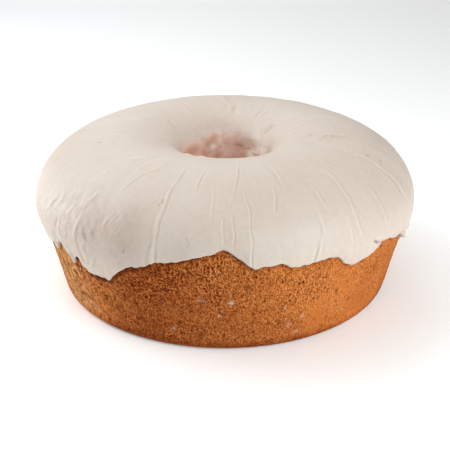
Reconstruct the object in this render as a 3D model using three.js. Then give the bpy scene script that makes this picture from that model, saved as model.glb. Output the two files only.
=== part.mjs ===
// A chiffon cake baked in a tube tin, with icing spread over its domed top.
//
// Units are millimetres and +Z is up. The origin is on the cake's axis, level with the surface it stands on.
// Angles go round the cake from the front, at -Y, and grow towards +X.
//
// It has two pieces:
//   sponge  the ring of cake: a flat foot, a flared wall, a domed top and the hole left by the tin's tube
//   icing   one skin over the dome, down the wall to uneven lobes, and a little way into the hole
//
// Both follow one section line, the skin, which runs up the wall, over the dome and down the hole.

import * as THREE from 'three';
import { ParametricGeometry } from 'three/addons/geometries/ParametricGeometry.js';

const { clamp, euclideanModulo, lerp, smoothstep } = THREE.MathUtils;

// ---------------------------------------------------------------- driving dimensions

const SPONGE_HEIGHT = 96; // foot to the top of the dome
const SHOULDER_RADIUS = 122.2; // the dome's widest ring
const SHOULDER_HEIGHT = 59;
const CREST_RADIUS = 65; // the ring along the top of the dome
const WALL_FLARE = 0.222; // how far the wall leans out for each millimetre of height
const FOOT_CORNER = 4; // rounding between the wall and the flat foot
const HOLE_RADIUS_AT_MOUTH = 31; // where the dome has finished rolling into the hole
const HOLE_RADIUS_AT_FOOT = 36;
const MOUTH_DROP = 14; // from the top of the dome down to the mouth

const ICING_ON_WALL = 2.4; // thickness of the icing
const ICING_ON_TOP = 3.1;
const ICING_IN_HOLE = 1.4;
const ICING_WAVE = 0.3; // slow unevenness of that thickness
const RIM_SHARE = 0.4; // thickness of the icing's rims, as a share of the thickness behind them
const RIM_SWELL = 5; // distance over which a rim swells to full thickness
const CLEARANCE = 0.55; // between the sponge and the icing

const HOLE_EDGE_HEIGHT = 85; // where the icing stops in the hole
const HOLE_EDGE_WAVE = 1.3;

// The icing's lower edge across the front, as turning points [degrees, height] that it swings between.
const FRONT_EDGE = [
  [-61, 47.5], [-54, 50], [-49, 44.5], [-40.5, 41], [-35, 42.3], [-26, 55.4], [-16, 61.8], [-6, 66.2],
  [-0.3, 70], [8, 60.3], [13, 61.5], [18, 58.7], [29, 59.8], [37, 50.7], [42, 51.5], [50, 57], [60, 52],
  [79, 34], [90, 44],
];
const BACK_WAVES = [[3, 1], [-5, 4], [-2.5, 11]]; // [depth, count] round the back; a minus starts with a rise
const EDGE_FADE = 4; // how soon the icing's rows level out on their way up from that edge

// ---------------------------------------------------------------- fineness

const SPONGE_COLUMNS = 60;
const FOOT_STEPS = 3;
const DOME_STEPS = 16;
const ICING_COLUMNS = 96;
const ICING_OUTER_STEPS = 15;
const ICING_INNER_STEPS = 20;

// ---------------------------------------------------------------- the skin

const QUARTER = Math.PI / 2;
const outerReach = SHOULDER_RADIUS - CREST_RADIUS;
const outerRise = SPONGE_HEIGHT - SHOULDER_HEIGHT;
const innerReach = CREST_RADIUS - HOLE_RADIUS_AT_MOUTH;
const mouthHeight = SPONGE_HEIGHT - MOUTH_DROP;
const mouth = new THREE.Vector2(HOLE_RADIUS_AT_MOUTH, mouthHeight);
const holeFoot = new THREE.Vector2(HOLE_RADIUS_AT_FOOT, 0);

// The wall is a tangent of the dome, so it meets the dome a little under the shoulder.
const wallTopAngle = -Math.atan((WALL_FLARE * outerRise) / outerReach);
const wallTop = outerDome(wallTopAngle);
const wallFoot = new THREE.Vector2(wallTop.x - WALL_FLARE * wallTop.y, 0);

/** A point [radius, height] on the dome's outer half, an elliptical arc with its crest at a quarter turn. */
function outerDome(angle) {
  const radius = CREST_RADIUS + outerReach * Math.cos(angle);
  return new THREE.Vector2(radius, SHOULDER_HEIGHT + outerRise * Math.sin(angle));
}

/** A point [radius, height] on the dome's inner half, from the crest round to the mouth at a half turn. */
function innerDome(angle) {
  const radius = CREST_RADIUS + innerReach * Math.cos(angle);
  return new THREE.Vector2(radius, mouthHeight + MOUTH_DROP * Math.sin(angle));
}

/** The skin at s: the wall is 0 to 1, the outer dome 1 to 2, the inner dome 2 to 3, the hole 3 to 4. */
function skinAt(s) {
  if (s <= 1) return wallFoot.clone().lerp(wallTop, s);
  if (s <= 2) return outerDome(lerp(wallTopAngle, QUARTER, s - 1));
  if (s <= 3) return innerDome(lerp(QUARTER, 2 * QUARTER, s - 2));
  return mouth.clone().lerp(holeFoot, s - 3);
}

/** The direction that points straight out of the cake at s. */
function skinNormal(s) {
  const step = 1e-3;
  const along = skinAt(s + step).sub(skinAt(s - step)).normalize();
  return new THREE.Vector2(along.y, -along.x);
}

/** Where a height lies on the outer side of the skin. */
function outerSideAt(height) {
  if (height <= wallTop.y) return height / wallTop.y;
  const angle = Math.asin((height - SHOULDER_HEIGHT) / outerRise);
  return 1 + (angle - wallTopAngle) / (QUARTER - wallTopAngle);
}

/** Where a height above the mouth lies on the inner side of the skin. */
function innerSideAt(height) {
  return 3 - Math.asin((height - mouthHeight) / MOUTH_DROP) / QUARTER;
}

// ---------------------------------------------------------------- the icing's two edges and its thickness

/** Height of the icing's lower edge at an angle in degrees. */
function lowerEdge(degrees) {
  const [firstAngle, firstHeight] = FRONT_EDGE.at(0);
  const [lastAngle, lastHeight] = FRONT_EDGE.at(-1);
  const at = firstAngle + euclideanModulo(degrees - firstAngle, 360);
  if (at >= lastAngle) {
    const share = (at - lastAngle) / (firstAngle + 360 - lastAngle);
    const dip = ([depth, count]) => depth * Math.sin(2 * Math.PI * count * share);
    return BACK_WAVES.reduce((height, wave) => height - dip(wave), lerp(lastHeight, firstHeight, share));
  }
  const next = FRONT_EDGE.findIndex(([angle]) => angle > at);
  const [fromAngle, fromHeight] = FRONT_EDGE[next - 1];
  const [toAngle, toHeight] = FRONT_EDGE[next];
  return lerp(fromHeight, toHeight, smoothstep(at, fromAngle, toAngle));
}

/** Height of the icing's edge in the hole at an angle in radians. */
function holeEdge(turn) {
  return HOLE_EDGE_HEIGHT + HOLE_EDGE_WAVE * (0.6 * Math.sin(2 * turn + 1) + 0.4 * Math.sin(5 * turn));
}

/** The icing's thickness at s, where it reaches from one edge to the other. */
function icingThickness(s, edges, turn) {
  const overShoulder = lerp(ICING_ON_WALL, ICING_ON_TOP, smoothstep(s, 1, 2));
  const even = lerp(overShoulder, ICING_IN_HOLE, smoothstep(s, 2, 3));
  const full = even + ICING_WAVE * Math.sin(3 * turn) * Math.sin(2 * s + turn);
  const toRim = Math.min(...edges.map((edge) => skinAt(s).distanceTo(skinAt(edge))));
  return full * lerp(RIM_SHARE, 1, Math.sqrt(clamp(toRim / RIM_SWELL, 0, 1)));
}

// ---------------------------------------------------------------- the two pieces

/** The sponge: its whole section, closed on itself and turned about the axis. */
function spongeGeometry() {
  const cornerStart = new THREE.Vector2(wallFoot.x - FOOT_CORNER, 0);
  const cornerEnd = skinAt(FOOT_CORNER / wallTop.y);
  const corner = new THREE.QuadraticBezierCurve(cornerStart, wallFoot, cornerEnd).getPoints(FOOT_STEPS);
  const dome = Array.from({ length: DOME_STEPS + 1 }, (_, step) => skinAt(lerp(1, 3, step / DOME_STEPS)));
  const section = [holeFoot, ...corner, ...dome, holeFoot];
  return new THREE.LatheGeometry(section, SPONGE_COLUMNS).rotateX(QUARTER); // the lathe turns about Y
}

/** The icing: one loop, over the outside and back along the skin, swept round the cake. */
function icingGeometry() {
  const loopSteps = ICING_OUTER_STEPS + ICING_INNER_STEPS + 2;
  return new ParametricGeometry((around, along, target) => {
    const turn = around * 2 * Math.PI;
    const edges = [outerSideAt(lowerEdge(around * 360)), innerSideAt(holeEdge(turn))];
    const step = Math.round(along * loopSteps) % loopSteps;
    const outside = step <= ICING_OUTER_STEPS;
    const wayBack = (step - ICING_OUTER_STEPS - 1) / ICING_INNER_STEPS;
    const share = outside ? step / ICING_OUTER_STEPS : 1 - wayBack;
    const s = lerp(1, edges[1], share) + (edges[0] - 1) * (1 - share) ** EDGE_FADE;
    const lift = CLEARANCE + (outside ? icingThickness(s, edges, turn) : 0);
    const point = skinAt(s).addScaledVector(skinNormal(s), lift);
    target.set(point.x * Math.sin(turn), -point.x * Math.cos(turn), point.y);
  }, ICING_COLUMNS, loopSteps);
}

const spongeMaterial = new THREE.MeshStandardMaterial({ color: 0xa8642e, roughness: 0.9, metalness: 0 });
const icingMaterial = new THREE.MeshStandardMaterial({ color: 0xe6ddd0, roughness: 0.5, metalness: 0 });

const sponge = new THREE.Mesh(spongeGeometry(), spongeMaterial);
sponge.name = 'sponge';

const icing = new THREE.Mesh(icingGeometry(), icingMaterial);
icing.name = 'icing';

const cake = new THREE.Group();
cake.name = 'chiffon_cake';
cake.add(sponge, icing);

export default cake;
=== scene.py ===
"""A chiffon cake from a tube tin, iced over its domed top.

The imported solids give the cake's size and the line where its icing ends. This script lays the fine
surface over them: the sponge's porous crust, and the icing's folds, rims and torn edge. It then
stands the cake on a pale floor in soft light.

Lengths are in metres. A place on the cake is an angle and a reach. The angle is in degrees from the
front, at -Y, and grows towards +X. The reach is the distance along the cake's section line from the
crest of its dome: positive outwards and down the wall, negative into the central hole.
"""

import logging
import math
from dataclasses import dataclass, field
from enum import Enum
from functools import cached_property

import bpy
import numpy as np
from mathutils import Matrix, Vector, noise


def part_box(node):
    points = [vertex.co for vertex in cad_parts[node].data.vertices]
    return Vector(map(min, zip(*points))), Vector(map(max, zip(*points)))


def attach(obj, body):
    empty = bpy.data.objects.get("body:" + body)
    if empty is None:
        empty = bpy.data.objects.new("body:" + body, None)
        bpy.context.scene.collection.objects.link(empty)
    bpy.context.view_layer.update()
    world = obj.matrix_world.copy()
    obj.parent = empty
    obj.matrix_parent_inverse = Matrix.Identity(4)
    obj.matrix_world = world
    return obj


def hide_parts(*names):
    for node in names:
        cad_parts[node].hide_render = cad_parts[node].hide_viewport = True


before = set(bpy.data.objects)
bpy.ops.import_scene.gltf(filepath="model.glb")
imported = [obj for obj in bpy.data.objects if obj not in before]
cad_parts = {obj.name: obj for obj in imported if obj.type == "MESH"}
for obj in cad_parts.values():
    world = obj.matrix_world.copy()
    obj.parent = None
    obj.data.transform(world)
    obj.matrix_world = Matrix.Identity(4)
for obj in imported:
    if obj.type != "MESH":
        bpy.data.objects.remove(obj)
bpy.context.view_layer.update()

LOG = logging.getLogger("chiffon_cake")
MM = 0.001
BODY = "root"


# ---------------------------------------------------------------- small helpers


def srgb(red: int, green: int, blue: int) -> tuple[float, float, float, float]:
    """Turns a screen colour into the linear colour that shaders take.

    Args:
        red: the red channel, 0 to 255.
        green: the green channel.
        blue: the blue channel.

    Returns:
        The linear colour with full alpha.
    """
    channels = np.array((red, green, blue)) / 255
    low = channels / 12.92
    high = ((channels + 0.055) / 1.055) ** 2.4
    return (*np.where(channels <= 0.04045, low, high).tolist(), 1.0)


def smoothstep(value: np.ndarray, start: float, end: float) -> np.ndarray:
    """Rises smoothly from 0 at start to 1 at end."""
    share = np.clip((value - start) / (end - start), 0, 1)
    return share * share * (3 - 2 * share)


def hump(offset: np.ndarray | float) -> np.ndarray | float:
    """A soft hump that is 1 at an offset of 0 and fades out past an offset of 1."""
    return np.exp(-(offset**2))


def turn_between(angles: np.ndarray | float, centre: float) -> np.ndarray | float:
    """How far angles are from a centre, in degrees from -180 to 180."""
    return (np.asarray(angles) - centre + 180) % 360 - 180


def near(angles: np.ndarray | float, centre: float, half_width: float) -> np.ndarray | float:
    """How near angles are to a centre: 1 at it, fading out past a half width."""
    return hump(turn_between(angles, centre) / half_width)


def turn_of(points: np.ndarray) -> np.ndarray:
    """The angle of each point round the cake's axis, in radians."""
    return np.arctan2(points[..., 0], -points[..., 1])


def round_axis(turn: np.ndarray, radius: np.ndarray, height: np.ndarray) -> np.ndarray:
    """Points at an angle round the cake's axis, in radians, with a radius and a height."""
    return np.stack(np.broadcast_arrays(radius * np.sin(turn), -radius * np.cos(turn), height), -1)


def crowded_turn(count: int, crowding: float) -> np.ndarray:
    """Shares out angles round a full turn, closer together at the front than at the back.

    Args:
        count: how many angles.
        crowding: 0 for even steps, and towards 1 for ever smaller steps at the front.

    Returns:
        The angles in degrees, from -180 to 180.
    """
    share = np.arange(count) / count
    turn = share * 360 - math.degrees(crowding) * np.sin(2 * np.pi * share)
    return turn_between(turn, 0)


def wander(angles: np.ndarray, rng: np.random.Generator, waves: tuple[int, int]) -> np.ndarray:
    """Gives a wavering line that closes on itself round the cake.

    Args:
        angles: where to evaluate it, in degrees.
        rng: the source of chance.
        waves: the smallest and largest number of waves in a full turn.

    Returns:
        A value for each angle, with a spread of about 1.
    """
    counts = np.arange(*waves)
    phases = rng.uniform(0, 2 * np.pi, len(counts))
    weights = rng.normal(0, 1, len(counts)) / math.sqrt(len(counts) / 2)
    return (weights * np.cos(np.radians(np.asarray(angles))[..., None] * counts + phases)).sum(-1)


def drift(count: int, rng: np.random.Generator, neighbours: int = 6) -> np.ndarray:
    """Draws random values that change slowly from one to the next.

    Args:
        count: how many values.
        rng: the source of chance.
        neighbours: about how many neighbours a value resembles.

    Returns:
        The values, with a spread of about 1.
    """
    window = np.hanning(neighbours + 2)[1:-1]
    loose = rng.normal(0, 1, count + neighbours - 1)
    return np.convolve(loose, window / np.linalg.norm(window), "valid")


def smooth_path(knots: np.ndarray, steps: int) -> np.ndarray:
    """Draws a smooth curve through knots.

    Args:
        knots: the points, one to a row.
        steps: the pieces between one knot and the next.

    Returns:
        The points of a Catmull-Rom curve.
    """
    ends = np.vstack((2 * knots[0] - knots[1], knots, 2 * knots[-1] - knots[-2]))
    share = np.linspace(0, 1, steps, endpoint=False)[:, None]
    pieces = []
    for before, start, end, after in zip(ends, ends[1:], ends[2:], ends[3:]):
        bend = 2 * start + (end - before) * share
        bend += (2 * before - 5 * start + 4 * end - after) * share**2
        bend += (3 * start - before - 3 * end + after) * share**3
        pieces.append(bend / 2)
    return np.vstack((*pieces, knots[-1:]))


def closed_grid(
    name: str, points: np.ndarray, masks: dict[str, np.ndarray], grain: np.ndarray
) -> bpy.types.Object:
    """Makes a piece from a grid of points that closes on itself both ways.

    Args:
        name: the piece's name.
        points: its points, by column round the cake and row round the section.
        masks: values kept on the points for the finish, by name. They are 0 past a mask's last row.
        grain: for each point, the place at which the finish looks its textures up.

    Returns:
        The new object, smooth shaded.
    """
    columns, rows = points.shape[:2]
    index = np.arange(columns * rows).reshape(columns, rows)
    beside = np.roll(index, -1, axis=0)
    corners = (index, beside, np.roll(beside, -1, axis=1), np.roll(index, -1, axis=1))
    faces = np.stack(corners, axis=-1).reshape(-1, 4)
    mesh = bpy.data.meshes.new(name)
    mesh.vertices.add(points.size // 3)
    mesh.vertices.foreach_set("co", points.astype(np.float32).ravel())
    mesh.loops.add(faces.size)
    mesh.loops.foreach_set("vertex_index", faces.astype(np.int32).ravel())
    mesh.polygons.add(len(faces))
    mesh.polygons.foreach_set("loop_start", np.arange(0, faces.size, 4, dtype=np.int32))
    mesh.update(calc_edges=True)
    mesh.shade_smooth()
    for mask_name, values in masks.items():
        kept = np.zeros((columns, rows), np.float32)
        kept[:, : values.shape[1]] = values
        mask = mesh.attributes.new(mask_name, "FLOAT", "POINT")
        mask.data.foreach_set("value", kept.ravel())
    places = mesh.attributes.new("grain", "FLOAT_VECTOR", "POINT")
    places.data.foreach_set("vector", grain.astype(np.float32).ravel())
    piece = bpy.data.objects.new(name, mesh)
    bpy.context.scene.collection.objects.link(piece)
    return piece


# ---------------------------------------------------------------- the cake's form


@dataclass(frozen=True)
class Lumps:
    """Smooth random unevenness, with its height and about how far apart its lumps are."""

    height: float
    size: float
    layers: int
    seed: float
    layer_fall: float = 1.0
    layer_step: float = 2.0

    def over(self, points: np.ndarray) -> np.ndarray:
        """Gives the unevenness at a set of points.

        Args:
            points: places in space, with x, y and z last.

        Returns:
            For each point, a value that is rarely beyond the height, up or down.
        """
        spots = (points.reshape(-1, 3) / self.size + self.seed).tolist()
        values = [noise.fractal(spot, self.layer_fall, self.layer_step, self.layers) for spot in spots]
        return self.height * np.array(values).reshape(points.shape[:-1])


@dataclass(frozen=True)
class Section:
    """The line that both pieces follow: up the wall, over the dome and down the central hole."""

    height: float
    shoulder_radius: float
    shoulder_height: float = 59 * MM
    crest_radius: float = 65 * MM
    wall_flare: float = 0.222
    mouth_radius: float = 31 * MM
    mouth_drop: float = 14 * MM
    hole_foot_radius: float = 36 * MM
    steps: int = 600

    @classmethod
    def from_frame(cls) -> "Section":
        """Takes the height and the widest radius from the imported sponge."""
        _, top_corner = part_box("sponge")
        return cls(height=top_corner.z, shoulder_radius=top_corner.x)

    def dome_side(self, half_width: float, drop: float, start: float, end: float) -> np.ndarray:
        """Draws one side of the dome, as part of an ellipse whose top is the crest.

        Args:
            half_width: how far the side reaches from the crest, level.
            drop: how far it comes down from the crest.
            start: the ellipse's angle at the first point.
            end: its angle at the last point.

        Returns:
            Points of radius and height.
        """
        turn = np.linspace(start, end, self.steps)
        radius = self.crest_radius + half_width * np.cos(turn)
        return np.column_stack((radius, self.height - drop + drop * np.sin(turn)))

    @cached_property
    def line(self) -> np.ndarray:
        """Draws the whole line.

        Returns:
            Columns of reach, radius, height and the outward direction's two parts, by rising reach.
        """
        top = math.pi / 2
        outer_width = self.shoulder_radius - self.crest_radius
        outer_drop = self.height - self.shoulder_height
        wall_top = -math.atan(self.wall_flare * outer_drop / outer_width)
        inner_width = self.crest_radius - self.mouth_radius
        inner_dome = self.dome_side(inner_width, self.mouth_drop, math.pi, top)
        outer_dome = self.dome_side(outer_width, outer_drop, top, wall_top)
        radius, height = outer_dome[-1]
        hole = np.linspace((self.hole_foot_radius, 0), inner_dome[0], self.steps)
        wall = np.linspace(outer_dome[-1], (radius - self.wall_flare * height, 0), self.steps)
        points = np.vstack((hole[:-1], inner_dome[:-1], outer_dome, wall[1:]))
        lengths = np.linalg.norm(np.diff(points, axis=0), axis=1)
        reach = np.concatenate(([0], np.cumsum(lengths)))
        reach -= reach[np.argmin(np.linalg.norm(points - outer_dome[0], axis=1))]
        along = np.gradient(points, reach, axis=0)
        along /= np.linalg.norm(along, axis=1, keepdims=True)
        return np.column_stack((reach, points, -along[:, 1], along[:, 0]))

    def at(self, reach: np.ndarray | float) -> tuple:
        """Gives the radius, the height and the two parts of the outward direction at each reach."""
        known = self.line
        return tuple(np.interp(reach, known[:, 0], known[:, part]) for part in range(1, 5))

    def reach_outside(self, height: np.ndarray | float) -> np.ndarray | float:
        """The reach of a height on the wall or the outer half of the dome."""
        outside = self.line[self.line[:, 0] >= 0]
        return np.interp(height, outside[::-1, 2], outside[::-1, 0])

    def reach_inside(self, height: np.ndarray | float) -> np.ndarray | float:
        """The reach of a height in the hole or on the inner half of the dome."""
        inside = self.line[self.line[:, 0] <= 0]
        return np.interp(height, inside[:, 2], inside[:, 0])


@dataclass
class Skin:
    """A sheet over the section: columns round the cake, rows along it, and a lift off the line."""

    section: Section
    angles: np.ndarray
    reach: np.ndarray
    lift: np.ndarray = field(init=False)
    blob_reach: float = 3.0

    def __post_init__(self) -> None:
        """Starts the sheet flat on the section line."""
        self.lift = np.zeros(self.reach.shape)

    @cached_property
    def radius(self) -> np.ndarray:
        """The distance of each point of the line from the axis."""
        return self.section.at(self.reach)[0]

    @property
    def from_first(self) -> np.ndarray:
        """How far each point is from its column's first row, up the section."""
        return self.reach[:, :1] - self.reach

    @property
    def from_last(self) -> np.ndarray:
        """How far each point is from its column's last row, down the section."""
        return self.reach - self.reach[:, -1:]

    def points(self) -> np.ndarray:
        """Gives the sheet's points in space.

        Returns:
            The points, by column and row.
        """
        radius, height, out_radius, out_height = self.section.at(self.reach)
        turn = np.radians(self.angles)[:, None]
        return round_axis(turn, radius + out_radius * self.lift, height + out_height * self.lift)

    def columns_near(self, angle: float, spread: float) -> np.ndarray:
        """The columns within a spread of degrees from an angle."""
        return np.flatnonzero(np.abs(turn_between(self.angles, angle)) <= spread)

    def offsets(
        self, columns: np.ndarray, angle: float, reach: float
    ) -> tuple[np.ndarray, np.ndarray]:
        """Measures the sheet from one of its places.

        Args:
            columns: the columns to measure.
            angle: the place's angle.
            reach: the place's reach.

        Returns:
            The distances across, round the cake, and along, down its section.
        """
        across = np.radians(turn_between(self.angles[columns], angle))[:, None] * self.radius[columns]
        return across, self.reach[columns] - reach

    def blob(
        self, angle: float, reach: float, size: tuple[float, float], slant: float = 0.0
    ) -> tuple[np.ndarray, np.ndarray]:
        """Finds a soft oval on the sheet, which has faded out a few half widths from its middle.

        Args:
            angle: the middle's angle.
            reach: the middle's reach.
            size: its half widths across and along.
            slant: how far it leans, in degrees.

        Returns:
            The columns it touches, and its strength there from 0 to 1.
        """
        radius = self.section.at(reach)[0]
        columns = self.columns_near(angle, math.degrees(self.blob_reach * max(size) / radius))
        across, along = self.offsets(columns, angle, reach)
        lean = math.radians(slant)
        sideways = (across * math.cos(lean) + along * math.sin(lean)) / size[0]
        lengthways = (along * math.cos(lean) - across * math.sin(lean)) / size[1]
        return columns, hump(sideways) * hump(lengthways)


class Fold(Enum):
    """The shape of a mark's cross-section."""

    RIDGE = "a raised line"
    GROOVE = "a sunken line"
    PINCH = "a raised line beside a sunken one"


@dataclass(frozen=True)
class Crease:
    """A mark that runs through the icing, by knots of angle in degrees and reach in millimetres."""

    knots: tuple[tuple[float, float], ...]
    height: float = 0.3
    width: float = 1.0
    fold: Fold = Fold.PINCH
    stray: tuple[float, float] = (0.175, 0.35)
    unevenness: float = 0.4
    least_force: float = 0.35
    most_force: float = 1.8
    faded_ends: float = 0.25
    widths_seen: float = 4.0

    def press_into(self, skin: Skin, rng: np.random.Generator) -> None:
        """Adds the mark to a sheet's lift, uneven on its way and fading out at both ends.

        Args:
            skin: the sheet.
            rng: the source of chance.
        """
        path = smooth_path(np.array(self.knots), steps=6)
        path += self.stray * np.column_stack((drift(len(path), rng), drift(len(path), rng)))
        force = 1 + self.unevenness * drift(len(path), rng)
        force = np.clip(force, self.least_force, self.most_force)
        width = self.width * MM
        margin = math.degrees(self.widths_seen * width / skin.section.mouth_radius)
        columns = skin.columns_near(path[len(path) // 2, 0], np.ptp(path[:, 0]) + margin)
        gap, step = self.measure(skin, columns, path)
        force = np.interp(step, np.arange(len(path)), force)
        share = step / (len(path) - 1)
        force *= smoothstep(share, 0, self.faded_ends) * smoothstep(1 - share, 0, self.faded_ends)
        skin.lift[columns] += self.height * MM * force * self.profile(gap / width)

    @staticmethod
    def measure(skin: Skin, columns: np.ndarray, path: np.ndarray) -> tuple[np.ndarray, np.ndarray]:
        """Measures how far a sheet's points lie from a path, and where along it.

        Args:
            skin: the sheet.
            columns: the columns to look at.
            path: the path's angles in degrees and reach in millimetres.

        Returns:
            For each point, its distance to the path, which is negative on one side, and the path's
            nearest step, with its fraction.
        """
        starts = [skin.offsets(columns, angle, reach * MM) for angle, reach in path]
        nearest = np.full(starts[0][0].shape, np.inf)
        side = np.zeros_like(nearest)
        place = np.zeros_like(nearest)
        for step, ((x0, y0), (x1, y1)) in enumerate(zip(starts, starts[1:])):
            run_x, run_y = x0 - x1, y0 - y1
            share = np.clip((x0 * run_x + y0 * run_y) / (run_x**2 + run_y**2), 0, 1)
            gap_x, gap_y = x0 - share * run_x, y0 - share * run_y
            gap = np.hypot(gap_x, gap_y)
            closer = gap < nearest
            nearest = np.where(closer, gap, nearest)
            side = np.where(closer, np.sign(gap_x * run_y - gap_y * run_x), side)
            place = np.where(closer, step + share, place)
        return side * nearest, place

    def profile(self, offset: np.ndarray) -> np.ndarray:
        """Draws the mark's cross-section.

        Args:
            offset: how far places are from its middle, counted in widths.

        Returns:
            The height at each offset, as a share of the mark's height.
        """
        if self.fold is Fold.RIDGE:
            return hump(offset)
        if self.fold is Fold.GROOVE:
            return -hump(offset)
        furrow_beside = 0.8 * hump(offset - 1.5)
        soft_swell = 0.3 * hump(offset / 4)
        return hump(offset) - furrow_beside + soft_swell


# ---------------------------------------------------------------- finishes


class Sketch:
    """A node tree that is being drawn up."""

    def __init__(self, tree: bpy.types.NodeTree) -> None:
        """Starts on an empty tree."""
        self.tree = tree
        tree.nodes.clear()

    def feed(self, socket: bpy.types.NodeSocket, value: object) -> None:
        """Links a socket to an input, or sets the input to a plain value.

        Args:
            socket: the input.
            value: the socket to link from, or the plain value.
        """
        if isinstance(value, bpy.types.NodeSocket):
            self.tree.links.new(value, socket)
        else:
            socket.default_value = value

    def add(self, kind: str, feeds: dict | None = None, **settings: object) -> bpy.types.Node:
        """Adds a node.

        Args:
            kind: the node's type.
            feeds: for each input, by name or number, a value or a socket to link from.
            **settings: the node's own properties.

        Returns:
            The new node.
        """
        node = self.tree.nodes.new(kind)
        for name, value in settings.items():
            setattr(node, name, value)
        for name, value in (feeds or {}).items():
            self.feed(node.inputs[name], value)
        return node

    def place(self) -> bpy.types.NodeSocket:
        """The place of a point on the piece."""
        return self.add("ShaderNodeTexCoord").outputs["Object"]

    def read(self, name: str, kind: str = "Fac") -> bpy.types.NodeSocket:
        """Reads what is kept on the piece's points under a name."""
        return self.add("ShaderNodeAttribute", attribute_name=name).outputs[kind]

    def use(self, group: bpy.types.NodeTree, **feeds: object) -> bpy.types.NodeSocket:
        """Places a shared node group, and gives its result."""
        return self.add("ShaderNodeGroup", feeds, node_tree=group).outputs[0]

    def math(self, kind: str, first: object, second: object) -> bpy.types.NodeSocket:
        """Works one kind of sum on two values, and gives the result."""
        return self.add("ShaderNodeMath", {0: first, 1: second}, operation=kind).outputs[0]

    def plus(self, first: object, second: object) -> bpy.types.NodeSocket:
        """Adds two values."""
        return self.math("ADD", first, second)

    def minus(self, first: object, second: object) -> bpy.types.NodeSocket:
        """Takes the second value from the first."""
        return self.math("SUBTRACT", first, second)

    def times(self, first: object, second: object) -> bpy.types.NodeSocket:
        """Multiplies two values."""
        return self.math("MULTIPLY", first, second)

    def larger(self, first: object, second: object) -> bpy.types.NodeSocket:
        """Picks the larger of two values."""
        return self.math("MAXIMUM", first, second)

    def vector_math(self, kind: str, feeds: dict) -> bpy.types.NodeSocket:
        """Works one kind of sum on vectors, and gives the result."""
        return self.add("ShaderNodeVectorMath", feeds, operation=kind).outputs["Vector"]

    def blend(self, share: object, first: object, second: object) -> bpy.types.NodeSocket:
        """Mixes two colours.

        Args:
            share: how much of the second colour is taken.
            first: the first colour.
            second: the second colour.

        Returns:
            The mixed colour.
        """
        node = self.add("ShaderNodeMix", data_type="RGBA")
        for number, value in ((0, share), (6, first), (7, second)):
            self.feed(node.inputs[number], value)
        return node.outputs[2]

    def bump(self, height: object, strength: float, depth: float) -> bpy.types.NodeSocket:
        """Turns a height into a normal, for a relief of a strength and a depth."""
        feeds = {"Height": height, "Strength": strength, "Distance": depth}
        return self.add("ShaderNodeBump", feeds).outputs["Normal"]

    def surface(self, feeds: dict) -> None:
        """Ends a material with its shader, from what each of the shader's inputs is fed."""
        shader = self.add("ShaderNodeBsdfPrincipled", feeds)
        self.add("ShaderNodeOutputMaterial", {"Surface": shader.outputs["BSDF"]})


def start_material(name: str) -> tuple[bpy.types.Material, Sketch]:
    """Starts a material.

    Args:
        name: the material's name.

    Returns:
        The material, and a sketch of its tree.
    """
    material = bpy.data.materials.new(name)
    material.use_nodes = True
    return material, Sketch(material.node_tree)


def start_group(
    name: str, result: str, values: dict[str, float]
) -> tuple[bpy.types.NodeTree, Sketch, bpy.types.bpy_prop_collection]:
    """Starts a shader node group that works something out at a place, from plain values.

    Args:
        name: the group's name.
        result: its output, which is a Mask or a Color.
        values: each plain input's name and its first value.

    Returns:
        The group, a sketch of its tree and the outputs of the node that its inputs come from.
    """
    group = bpy.data.node_groups.new(name, "ShaderNodeTree")
    group.interface.new_socket("Vector", in_out="INPUT", socket_type="NodeSocketVector")
    for value_name, value in values.items():
        socket = group.interface.new_socket(value_name, in_out="INPUT", socket_type="NodeSocketFloat")
        socket.default_value = value
    result_type = "NodeSocketColor" if result == "Color" else "NodeSocketFloat"
    group.interface.new_socket(result, in_out="OUTPUT", socket_type=result_type)
    sketch = Sketch(group)
    return group, sketch, sketch.add("NodeGroupInput").outputs


ICING_WHITE = srgb(217, 202, 189)
ICING_SHADE = srgb(214, 198, 184)
# Painted light: the near-white that brightens fold tops and a few patches in the hole.
ICING_PAINTED_LIGHT = srgb(250, 238, 224)
# Painted shade: the darker icing that furrows, pin holes and hollows are shaded towards; the random
# speckle also takes a little of it.
ICING_PAINTED_SHADE_AND_SPECKLE = srgb(166, 140, 124)
# Painted shadow: the dark brown inside the slit.
SLIT_PAINTED_SHADOW = srgb(112, 60, 44)
BARE_CRUST = srgb(240, 212, 198)
BARE_CRUST_DARK = srgb(211, 163, 140)
NOISE_MIDDLE = (0.5, 0.5, 0.5)
PORE_FLOOR = 0.35


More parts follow.
